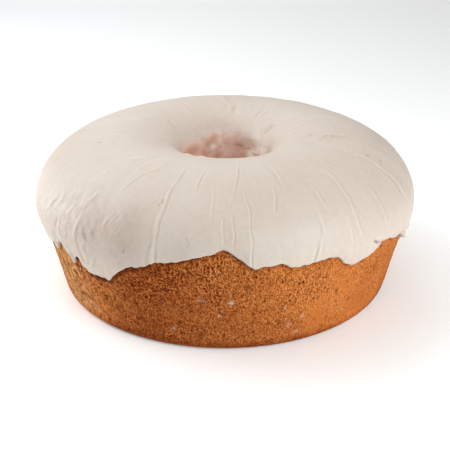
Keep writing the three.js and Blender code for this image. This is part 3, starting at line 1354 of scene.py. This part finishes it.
@dataclass
class Icing:
    """One skin of icing over the dome, with a torn lower edge and a ragged edge in the hole."""

    section: Section
    # The grid: its columns and rows, with the rows at both rims in millimetres from the edge.
    packed_columns: int = 96
    columns: int = 900
    crowding: float = 0.5
    middle_rows: int = 84
    row_crowding: float = 1.35
    under_rows: int = 8
    rim_rows: tuple[float, ...] = (0, 0.08, 0.22, 0.45, 0.75, 1.15, 1.7, 2.4, 3.3, 4.5, 6.0)
    hole_rim_rows: tuple[float, ...] = (6.0, 4.4, 3.0, 1.8, 0.8, 0)
    # The two edges.
    edge_waver: float = 0.2 * MM
    edge_waves: tuple[int, int] = (30, 160)
    hole_edge_waver: float = 0.5 * MM
    hole_edge_waves: tuple[int, int] = (6, 40)
    below_hole_edge: float = 9 * MM
    # The thickness, measured from the section line.
    on_wall: float = 2.95 * MM
    on_top: float = 3.65 * MM
    in_hole: float = 1.9 * MM
    at_rim: float = 1.0 * MM
    thinnest: float = 0.6 * MM
    rim_width: float = 2 * MM
    hole_rim_width: tuple[float, float] = (10 * MM, 25 * MM)
    wall_reach: float = 80 * MM
    hole_reach: float = 30 * MM
    rim_rounding: float = 0.4 * MM
    rim_swell: float = 4.5 * MM
    bead: float = 0.3 * MM
    bead_above_edge: float = 1.0 * MM
    bead_width: float = 0.8 * MM
    tear_thinning_reach: float = 2.5 * MM
    hole_feather: tuple[float, float] = (2 * MM, 19 * MM)
    hole_tuck: tuple[float, float] = (2 * MM, 8 * MM)
    hole_edge_sunk: float = 0.24 * MM
    under_sunk: float = 0.3 * MM
    # The unevenness, and where the icing is gathered.
    swells: Lumps = Lumps(0.35 * MM, 45 * MM, 2, 3.0)
    folds: Lumps = Lumps(0.25 * MM, 1.0, 2, 31.0)
    crumples: Lumps = Lumps(1.0, 12 * MM, 3, 41.0)
    crumple_height: float = 0.75 * MM
    crumple_middle: float = 0.25
    flat_on_top: tuple[float, float] = (-30 * MM, 20 * MM)
    skirt: tuple[float, float] = (25 * MM, 60 * MM)
    all_gathered: float = 0.12
    top_gathered: float = 0.15
    # The small marks, and how strongly they show.
    pin_hole_depth: float = 0.8 * MM
    pin_hole_shade: float = 4.0
    thin_patch_depth: float = 0.5 * MM
    slit_depth: float = 1.5 * MM
    slit_shade: float = 14.0
    rim_lump_height: float = 0.8 * MM
    full_furrow: float = 0.25 * MM
    beside: tuple[int, ...] = (-4, -3, -2, 2, 3, 4)
    fold_highlight: float = 0.2
    folds_end: tuple[float, float] = (-30 * MM, -15 * MM)
    rng: np.random.Generator = field(default_factory=lambda: np.random.default_rng(11))

    @cached_property
    def angles(self) -> np.ndarray:
        """The columns' angles, set closer together at the front."""
        return crowded_turn(self.columns, self.crowding)

    def packed_edge(self, inside: bool) -> np.ndarray:
        """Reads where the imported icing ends.

        Args:
            inside: reads the edge in the hole instead of the edge on the wall.

        Returns:
            The edge's reach at each column.
        """
        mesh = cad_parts["icing"].data
        corners = np.empty(len(mesh.vertices) * 3, np.float32)
        mesh.vertices.foreach_get("co", corners)
        x, y, z = corners.reshape(-1, 3).T
        column = np.round(np.arctan2(x, -y) / (2 * np.pi) * self.packed_columns).astype(int)
        chosen = (np.hypot(x, y) < self.section.crest_radius) == inside
        lowest = np.full(self.packed_columns, np.inf)
        np.minimum.at(lowest, column[chosen] % self.packed_columns, z[chosen])
        reach_of = self.section.reach_inside if inside else self.section.reach_outside
        packed_angles = np.arange(self.packed_columns) * 360 / self.packed_columns
        knots = np.column_stack((packed_angles, reach_of(lowest)))
        laps = [knots + (turn, 0) for turn in (-360, 0, 360)]
        path = smooth_path(np.vstack(laps), steps=8)
        return np.interp(self.angles, path[:, 0], path[:, 1])

    @cached_property
    def lower_edge(self) -> np.ndarray:
        """Draws the lower edge, with its fine wavering, its tears and its drips.

        Returns:
            The edge's reach at each column.
        """
        edge = self.packed_edge(inside=False)
        edge += self.edge_waver * wander(self.angles, self.rng, self.edge_waves)
        for mark in EDGE_MARKS:
            edge -= mark.offset(self.angles)
        return edge

    def hole_edge(self) -> np.ndarray:
        """The edge in the hole, as reach at each column, below the line where it fades from sight."""
        ragged = self.hole_edge_waver * wander(self.angles, self.rng, self.hole_edge_waves)
        return self.packed_edge(inside=True) - self.below_hole_edge + ragged

    def outer_sheet(self) -> Skin:
        """Spreads the icing's outer sheet between its two edges, with its rows closer at both rims.

        Returns:
            The sheet, flat on the section line.
        """
        low = self.lower_edge[:, None]
        high = self.hole_edge()[:, None]
        rim = low - np.array(self.rim_rows) * MM
        hole_rim = high + np.array(self.hole_rim_rows) * MM
        share = np.linspace(0, 1, self.middle_rows + 2)[1:-1] ** self.row_crowding
        middle = rim[:, -1:] + (hole_rim[:, :1] - rim[:, -1:]) * share
        return Skin(self.section, self.angles, np.hstack((rim, middle, hole_rim)))

    def under_sheet(self, outer: Skin) -> Skin:
        """Lays the hidden sheet that closes the icing against the sponge.

        Args:
            outer: the outer sheet.

        Returns:
            The sheet, with its rows from the outer sheet's last to its first.
        """
        share = np.linspace(1, 0, self.under_rows)
        first, last = outer.reach[:, :1], outer.reach[:, -1:]
        under = Skin(self.section, self.angles, first + (last - first) * share)
        under.lift -= self.under_sunk
        return under

    def thicken(self, skin: Skin) -> None:
        """Gives the sheet the icing's thickness, its two rims and its slow unevenness.

        Args:
            skin: the outer sheet.
        """
        reach, from_edge, from_hole_edge = skin.reach, skin.from_first, skin.from_last
        full = self.on_top + (self.on_wall - self.on_top) * smoothstep(reach, 0, self.wall_reach)
        full += (self.in_hole - self.on_top) * smoothstep(-reach, 0, self.hole_reach)
        full += self.swells.over(skin.points())
        thickness = self.at_rim + (full - self.at_rim) * (1 - np.exp(-from_edge / self.rim_swell))
        thickness += self.bead * hump((from_edge - self.bead_above_edge) / self.bead_width)
        thins = sum(mark.thins(self.angles) for mark in EDGE_MARKS)[:, None]
        thickness *= 1 - thins * hump(from_edge / self.tear_thinning_reach)
        rounding = np.clip(from_edge / self.rim_rounding, 0, 1)
        feather = smoothstep(from_hole_edge, *self.hole_feather)
        skin.lift += thickness * feather * np.sqrt(1 - (1 - rounding) ** 2)
        skin.lift -= self.hole_edge_sunk * (1 - smoothstep(from_hole_edge, *self.hole_tuck))

    def gathering(self, skin: Skin) -> np.ndarray:
        """Finds how gathered the icing is: most on the left, less at the back, and more low down.

        Args:
            skin: the outer sheet.

        Returns:
            A value from 0 to 1 for each of its points.
        """
        here = self.all_gathered + toned(GATHERING, skin.angles[:, None], 0)
        down = smoothstep(skin.reach, *self.skirt)
        return np.clip(here, 0, 1) * (self.top_gathered + (1 - self.top_gathered) * down)

    def stretched(self, reach: np.ndarray, turns: float, length: float) -> np.ndarray:
        """Stretches the icing's places down the section, for patterns that run that way.

        Args:
            reach: the reach of each place, by column and row.
            turns: how many folds of a pattern there are, for each radian round the cake.
            length: how far down the section a fold of the pattern runs.

        Returns:
            A stretched place for each place.
        """
        turn = np.radians(self.angles)[:, None]
        spots = (turns * np.cos(turn), turns * np.sin(turn), reach / length)
        return np.stack(np.broadcast_arrays(*spots), -1)

    def drape(self, skin: Skin, gathered: np.ndarray) -> None:
        """Adds the shallow folds that run down the sheet, and the crumpling where it is gathered.

        Args:
            skin: the outer sheet.
            gathered: how gathered it is at each point.
        """
        fade = smoothstep(skin.reach, *self.flat_on_top)
        skin.lift += fade * self.folds.over(self.stretched(skin.reach, turns=9, length=60 * MM))
        crumple = self.crumple_middle - np.abs(self.crumples.over(skin.points()))
        skin.lift += self.crumple_height * gathered * fade * crumple

    def keep_whole(self, skin: Skin) -> None:
        """Stops folds from cutting through to the sponge, away from the icing's two edges.

        Args:
            skin: the outer sheet.
        """
        covered = smoothstep(skin.from_first, 0, self.rim_width)
        covered *= smoothstep(skin.from_last, *self.hole_rim_width)
        skin.lift = np.maximum(skin.lift, self.thinnest * covered)

    def mark(self, skin: Skin) -> None:
        """Presses the creases, the pin holes and the other small marks into the sheet.

        Args:
            skin: the outer sheet.
        """
        for crease in (*DRAWN_CREASES, *Scatter().draw(self.rng)):
            crease.press_into(skin, self.rng)
        mark_all(PIN_HOLES, skin, skin.lift, -self.pin_hole_depth)
        mark_all(THIN_PATCHES, skin, skin.lift, -self.thin_patch_depth)
        self.keep_whole(skin)
        mark_all(SLIT, skin, skin.lift, -self.slit_depth)
        mark_all(RIM_LUMPS, skin, skin.lift, self.rim_lump_height)
        mark_all(HOLE_SWELLS, skin, skin.lift, MM)

    def furrows(self, skin: Skin) -> tuple[np.ndarray, np.ndarray]:
        """Finds where the sheet is sunken and where it stands up.

        Args:
            skin: the outer sheet.

        Returns:
            How far each point lies in a furrow, a hole or a hollow, which is coloured as painted shade,
            and how far it lies on a fold, which is coloured as a painted highlight.
        """
        beside = [np.roll(skin.lift, columns, axis=0) for columns in self.beside]
        depth = (np.mean(beside, axis=0) - skin.lift) / self.full_furrow
        sunken = np.clip(depth, 0, 1)
        # Painted shade in the pin holes and the slit, and in the shaded hollows.
        mark_all(PIN_HOLES, skin, sunken, self.pin_hole_shade)
        mark_all(SLIT, skin, sunken, self.slit_shade)
        mark_all(SHADED_HOLLOWS, skin, sunken)
        return sunken, np.clip(-depth, 0, 1)

    def build(self, fade: HoleFade) -> bpy.types.Object:
        """Builds the icing as one closed piece.

        Args:
            fade: where it thins out in the hole.

        Returns:
            The icing.
        """
        skin = self.outer_sheet()
        bare = fade.bareness(skin)
        mark_all(THIN_PATCHES, skin, bare)
        self.thicken(skin)
        gathered = self.gathering(skin)
        self.drape(skin, gathered)
        self.mark(skin)
        sunken, raised = self.furrows(skin)
        # Painted highlights along the tops of folds.
        painted_fold_highlights = self.fold_highlight * raised * smoothstep(skin.reach, *self.folds_end)
        masks = {
            "bare": np.clip(bare, 0, 1),
            "gathered": gathered,
            "sunken": sunken,
            "painted_light": marked(skin, PAINTED_LIGHT_PATCHES) + painted_fold_highlights,
            "hole_darkening": marked(skin, HOLE_DARK_PATCHES),
        }
        under = self.under_sheet(skin)
        points = np.hstack((skin.points(), under.points()))
        grain = self.stretched(np.hstack((skin.reach, under.reach)), turns=22, length=30 * MM)
        return closed_grid("icing_skin", points, masks, grain)


# ---------------------------------------------------------------- the sponge


@dataclass(frozen=True)
class Pits:
    """Small pits in the crust. On the torn side they are larger, longer, deeper and more slanted."""

    count: int = 3800
    one_torn_in: int = 6
    torn_spread: float = 16
    crowded_up: float = 1.3
    torn_half_width: float = 24
    fine_half_width: float = 35
    width: tuple[float, float] = (0.35 * MM, 0.65 * MM)
    torn_widening: float = 0.35
    length: tuple[float, float] = (1.0, 2.2)
    torn_lengthening: float = 1.0
    depth: tuple[float, float] = (0.3 * MM, 1.0 * MM)
    torn_deepening: float = 0.6 * MM
    slant: float = 35
    torn_slant: float = -30
    torn_steadying: float = 0.5
    darkness: tuple[float, float] = (0.35, 0.9)
    torn_darkening: float = 0.9
    fine_paling: float = 0.45
    rng: np.random.Generator = field(default_factory=lambda: np.random.default_rng(5))

    def press_into(self, skin: Skin, highest: float) -> np.ndarray:
        """Presses the pits into the wall, more of them high up than low down.

        Args:
            skin: the sponge's sheet.
            highest: the reach above which there are none.

        Returns:
            How dark each of the sheet's points is with pits, from 0 to 1.
        """
        rng = self.rng
        dark = np.zeros(skin.reach.shape)
        lowest = skin.reach[0, 0]
        for number in range(self.count):
            if number % self.one_torn_in == 0:
                angle = rng.normal(TORN_SIDE, self.torn_spread)
            else:
                angle = rng.uniform(-180, 180)
            reach = highest + (lowest - highest) * rng.random() ** self.crowded_up
            torn = near(angle, TORN_SIDE, self.torn_half_width)
            fine = near(angle, FINE_SIDE, self.fine_half_width)
            width = rng.uniform(*self.width) * (1 + self.torn_widening * torn)
            length = rng.uniform(self.length[0], self.length[1] + self.torn_lengthening * torn)
            depth = rng.uniform(self.depth[0], self.depth[1] + self.torn_deepening * torn)
            slant = rng.uniform(-self.slant, self.slant) * (1 - self.torn_steadying * torn)
            slant += self.torn_slant * torn
            columns, strength = skin.blob(angle, reach, (width, width * length), slant)
            skin.lift[columns] -= depth * strength
            darkness = rng.uniform(*self.darkness) * (1 - self.fine_paling * fine)
            bold = np.clip((1 + self.torn_darkening * torn) * strength, 0, 1)
            dark[columns] = np.maximum(dark[columns], bold * darkness)
        return dark


@dataclass
class Sponge:
    """The ring of sponge, with its pitted wall, its bare hole and its flat foot."""

    section: Section
    # The grid.
    columns: int = 860
    crowding: float = 0.4
    wall_step: float = 0.9 * MM
    hole_step: float = 2.5 * MM
    hidden_rows: int = 5
    foot_rows: int = 3
    corner_rows: int = 5
    covered_top: float = 73 * MM
    hole_seen_from: float = 92 * MM
    hole_seen_to: float = 56 * MM
    # The shape.
    corner: float = 4 * MM
    dent_depth: float = 0.8 * MM
    hole_wall: tuple[float, float] = (40 * MM, 50 * MM)
    smooth_corner: tuple[float, float] = (125 * MM, 133 * MM)
    hole_calming: float = 0.7
    calm_hole: float = 30 * MM
    swells: Lumps = Lumps(0.35 * MM, 22 * MM, 2, 1.0)
    crumbs: Lumps = Lumps(0.25 * MM, 3 * MM, 3, 6.0)
    # How brown and how coarse the crust is, with its painted light and shade, and how damp it is below
    # the icing's edge, with its painted shadow.
    foot_browning: float = 0.9
    foot_browned_to: float = 8 * MM
    foot_waver: Lumps = Lumps(2 * MM, 8 * MM, 3, 9.0)
    all_browning: float = 0.05
    browning_rise: tuple[float, float] = (30 * MM, 48 * MM)
    browning_lumps: Lumps = Lumps(0.15, 30 * MM, 2, 12.0)
    browning_limits: tuple[float, float] = (-0.6, 1.0)
    all_coarseness: float = 0.8
    high_coarseness: float = 0.25
    coarseness_rise: tuple[float, float] = (25 * MM, 45 * MM)
    coarseness_lumps: Lumps = Lumps(0.35, 25 * MM, 2, 15.0)
    coarseness_limits: tuple[float, float] = (0.1, 1.5)
    damp_shadow_side: float = -42
    damp_shadow_half_width: float = 22
    all_damp_shadow: float = 0.35
    side_damp_shadow: float = 0.65
    damp_shadow_reach: float = 2.5 * MM
    side_damp_shadow_reach: float = 3.5 * MM
    damp_shadow_fade: tuple[float, float] = (0.3, 1.0)
    damp_shadow_lumps: Lumps = Lumps(1.2, 5 * MM, 2, 51.0)
    crumb_lean: float = 0.65
    crumb_lean_half_width: float = 36
    pits: Pits = field(default_factory=Pits)

    @cached_property
    def angles(self) -> np.ndarray:
        """The columns' angles, set closer together at the front."""
        return crowded_turn(self.columns, self.crowding)

    def rows(self) -> np.ndarray:
        """Sets out the rows, from the wall's corner over the dome to the foot of the hole.

        Returns:
            The reach of each row. The rows are far apart where the icing hides the sponge.
        """
        section = self.section
        wall_end = section.line[-1, 0] - self.corner
        wall_top = section.reach_outside(self.covered_top)
        mouth = section.reach_inside(self.hole_seen_from)
        deep = section.reach_inside(self.hole_seen_to)
        wall = np.arange(wall_end, wall_top, -self.wall_step)
        dome = np.linspace(wall_top, mouth, self.hidden_rows, endpoint=False)
        seen = np.arange(mouth, deep, -self.hole_step)
        rest = np.linspace(deep, section.line[0, 0], self.hidden_rows + 1)
        return np.concatenate((wall, dome, seen, rest))

    def build(self, fade: HoleFade, icing: Icing) -> bpy.types.Object:
        """Builds the sponge as one closed piece.

        Args:
            fade: where the icing thins out in the hole.
            icing: the icing, below whose lower edge the crust is damp and has a painted shadow.

        Returns:
            The sponge.
        """
        skin = Skin(self.section, self.angles, np.tile(self.rows(), (self.columns, 1)))
        smeared = fade.inside(skin) * (1 - fade.bareness(skin))
        mark_all(WALL_FLECKS, skin, smeared)
        self.roughen(skin)
        pit = self.pits.press_into(skin, self.section.reach_outside(self.covered_top))
        mark_all(DARK_DENTS, skin, pit)
        mark_all(DARK_DENTS, skin, skin.lift, -self.dent_depth)
        mark_all(HOLE_SWELLS, skin, skin.lift, MM)
        points = np.hstack((skin.points(), self.foot(skin)))
        radius = np.hypot(points[..., 0], points[..., 1])
        masks = {
            "pit": pit,
            "smeared": np.clip(smeared, 0, 1),
            "painted_light": marked(skin, PAINTED_LIGHT_PATCHES),
            "hole_darkening": marked(skin, HOLE_DARK_PATCHES),
            "browning_and_painted_light": self.browning_with_painted_light(points),
            "coarse": self.coarseness(points),
            "damp_and_shadow": self.dampness_and_shadow(skin, icing),
            "hole": 1 - smoothstep(radius, *self.hole_wall),
        }
        return closed_grid("sponge_ring", points, masks, self.leaning(points))

    def leaning(self, points: np.ndarray) -> np.ndarray:
        """Twists points about the axis, so that the crumb's texture leans on the torn side.

        Args:
            points: the sponge's points.

        Returns:
            The twisted points.
        """
        turn = turn_of(points)
        lean = self.crumb_lean * near(np.degrees(turn), TORN_SIDE, self.crumb_lean_half_width)
        turn += lean * points[..., 2] / self.section.shoulder_radius
        return round_axis(turn, np.hypot(points[..., 0], points[..., 1]), points[..., 2])

    def browning_with_painted_light(self, points: np.ndarray) -> np.ndarray:
        """Finds how brown the crust is: most at the foot, with painted shade on the left of the front
        and painted light further left.

        Args:
            points: the sponge's points.

        Returns:
            A value for each point: 1 is dark brown, 0 is plain brown and below 0 is pale.
        """
        height = points[..., 2]
        low = 1 - smoothstep(height + self.foot_waver.over(points), 0, self.foot_browned_to)
        rise = smoothstep(height, *self.browning_rise)
        browning_and_shading = self.all_browning + toned(BROWNING_AND_PAINTED_LIGHT, np.degrees(turn_of(points)), rise)
        browning_and_shading += self.foot_browning * low + self.browning_lumps.over(points)
        return np.clip(browning_and_shading, *self.browning_limits)

    def dampness_and_shadow(self, skin: Skin, icing: Icing) -> np.ndarray:
        """Finds how damp the crust is, with the shadow painted under the icing: most just below the
        icing's edge, on the left.

        Args:
            skin: the sponge's sheet.
            icing: the icing.

        Returns:
            A value from 0 to 1 for each of the sheet's points.
        """
        order = np.argsort(icing.angles)
        edge = np.interp(self.angles, icing.angles[order], icing.lower_edge[order], period=360)
        below = skin.reach - edge[:, None]
        side = near(self.angles, self.damp_shadow_side, self.damp_shadow_half_width)[:, None]
        reach = self.damp_shadow_reach + self.side_damp_shadow_reach * side
        uneven = 1 + self.damp_shadow_lumps.over(skin.points())
        damp_and_shadow = np.clip((self.all_damp_shadow + self.side_damp_shadow * side) * uneven, 0, 1)
        # Painted shadow and dampness, fading out below the icing's edge.
        return damp_and_shadow * (1 - smoothstep(below / reach, *self.damp_shadow_fade))

    def coarseness(self, points: np.ndarray) -> np.ndarray:
        """Finds how coarse the crumb is: most high up, least on the right of the front.

        Args:
            points: the sponge's points.

        Returns:
            A value for each point, where 1 is fully coarse.
        """
        rise = smoothstep(points[..., 2], *self.coarseness_rise)
        coarse = self.all_coarseness + self.high_coarseness * rise
        coarse += toned(COARSENING, np.degrees(turn_of(points)), rise)
        return np.clip(coarse + self.coarseness_lumps.over(points), *self.coarseness_limits)

    def roughen(self, skin: Skin) -> None:
        """Makes the wall and the hole gently uneven, and leaves the foot's corner alone.

        Args:
            skin: the sponge's sheet.
        """
        points = skin.points()
        amount = 1 - smoothstep(skin.reach, *self.smooth_corner)
        amount *= 1 - self.hole_calming * smoothstep(-skin.reach, 0, self.calm_hole)
        skin.lift += amount * (self.swells.over(points) + self.crumbs.over(points))

    def foot(self, skin: Skin) -> np.ndarray:
        """Closes the ring underneath, with a flat foot and a rounded corner.

        Args:
            skin: the sponge's sheet, which ends at the foot of the hole.

        Returns:
            Points from the hole's foot out to the corner's top, by column.
        """
        inner = self.section.hole_foot_radius
        outer = self.section.at(self.section.line[-1, 0])[0]
        start = outer - self.corner
        flat = np.linspace(inner, start, self.foot_rows + 1)[1:]
        share = np.linspace(0, 1, self.corner_rows + 2)[1:-1]
        top_radius, top_height, *_ = self.section.at(skin.reach[0, 0])
        bend = (1 - share) ** 2 * start + 2 * share * (1 - share) * outer + share**2 * top_radius
        radius = np.concatenate((flat, bend))
        height = np.concatenate((np.zeros(len(flat)), share**2 * top_height))
        return round_axis(np.radians(self.angles)[:, None], radius, height)


# ---------------------------------------------------------------- the studio


@dataclass(frozen=True)
class SoftBox:
    """A square of soft light that faces the cake."""

    name: str
    azimuth: float
    elevation: float
    distance: float
    width: float
    power: float
    tint: tuple[float, float, float]

    def hang(self, target: Vector) -> None:
        """Hangs the light.

        Args:
            target: the point that it faces.
        """
        lamp = bpy.data.lights.new(self.name, "AREA")
        lamp.shape = "SQUARE"
        lamp.size = self.width
        lamp.energy = self.power
        lamp.color = self.tint
        holder = bpy.data.objects.new(self.name, lamp)
        turn, rise = math.radians(self.azimuth), math.radians(self.elevation)
        away, up = self.distance * math.cos(rise), self.distance * math.sin(rise)
        place = Vector((away * math.sin(turn), -away * math.cos(turn), up))
        holder.location = target + place
        holder.rotation_euler = (-place).to_track_quat("-Z", "Y").to_euler()
        bpy.context.scene.collection.objects.link(holder)


@dataclass(frozen=True)
class Studio:
    """The camera, the lights, the sky and the floor."""

    camera_distance: float = 0.590
    camera_elevation: float = 24.98
    target_height: float = 30.1 * MM
    lens: float = 68.56
    nearest_seen: float = 10 * MM
    floor_width: float = 8.0
    sky: float = 0.01
    lights: tuple[SoftBox, ...] = (
        SoftBox("left_box", -110, 8, 0.9, 0.6, 4.2, (0.97, 1.0, 1.05)),
        SoftBox("middle_left_box", -75, 45, 0.9, 0.6, 2.2, (1.0, 1.0, 1.0)),
        SoftBox("high_left_box", -110, 50, 0.9, 0.6, 2.1, (0.97, 1.0, 1.02)),
        SoftBox("right_box", 62, 25, 0.9, 0.6, 2.2, (1.1, 1.0, 0.95)),
        SoftBox("front_right_box", 40, 32, 0.9, 0.6, 4.2, (0.85, 1.0, 1.06)),
        SoftBox("back_box", 180, 25, 2.2, 1.8, 8.2, (1.02, 1.0, 0.98)),
        SoftBox("back_left_box", -150, 40, 2.2, 1.8, 14.2, (0.88, 1.0, 1.06)),
        SoftBox("overhead_box", 0, 88, 2.0, 2.4, 6.7, (1.2, 1.0, 0.88)),
    )

    def set_up(self) -> None:
        """Sets the whole studio up."""
        scene = bpy.context.scene
        scene.view_settings.view_transform = "Standard"
        target = Vector((0, 0, self.target_height))
        for light in self.lights:
            light.hang(target)
        world = bpy.data.worlds.new("pale_sky")
        world.use_nodes = True
        background = world.node_tree.nodes["Background"].inputs
        background["Color"].default_value = (1, 1, 1, 1)
        background["Strength"].default_value = self.sky
        scene.world = world
        self.lay_floor()
        self.place_camera(target)

    def lay_floor(self) -> None:
        """Lays the floor, level with the cake's foot."""
        half = self.floor_width / 2
        corners = [(-half, -half, 0), (half, -half, 0), (half, half, 0), (-half, half, 0)]
        mesh = bpy.data.meshes.new("floor")
        mesh.from_pydata(corners, [], [(0, 1, 2, 3)])
        mesh.materials.append(FloorFinish().material())
        floor = bpy.data.objects.new("floor", mesh)
        bpy.context.scene.collection.objects.link(floor)

    def place_camera(self, target: Vector) -> None:
        """Places the camera in front of the cake, looking a little down on it.

        Args:
            target: the point that it faces.
        """
        lens = bpy.data.cameras.new("camera")
        lens.lens = self.lens
        lens.clip_start = self.nearest_seen
        rise = math.radians(self.camera_elevation)
        camera = bpy.data.objects.new("camera", lens)
        camera.location = target + self.camera_distance * Vector((0, -math.cos(rise), math.sin(rise)))
        camera.rotation_euler = (math.pi / 2 - rise, 0, 0)
        bpy.context.scene.collection.objects.link(camera)
        bpy.context.scene.camera = camera


# ---------------------------------------------------------------- putting it together


def settle(piece: bpy.types.Object, node: str, material: bpy.types.Material) -> None:
    """Dresses a finished piece and ties it to the frame.

    Args:
        piece: the finished mesh.
        node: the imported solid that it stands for.
        material: its finish.
    """
    piece.data.materials.append(material)
    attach(piece, BODY)
    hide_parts(node)
    LOG.info("%s: %d points, %d faces", piece.name, len(piece.data.vertices), len(piece.data.polygons))


def main() -> None:
    """Builds the cake and its studio."""
    logging.basicConfig(level=logging.INFO, format="%(name)s: %(message)s")
    effects = SharedEffects.build()
    section = Section.from_frame()
    fade = HoleFade()
    icing = Icing(section)
    settle(Sponge(section).build(fade, icing), "sponge", CrustFinish(effects).material())
    settle(icing.build(fade), "icing", IcingFinish(effects).material())
    Studio().set_up()


if __name__ == "__main__":
    main()
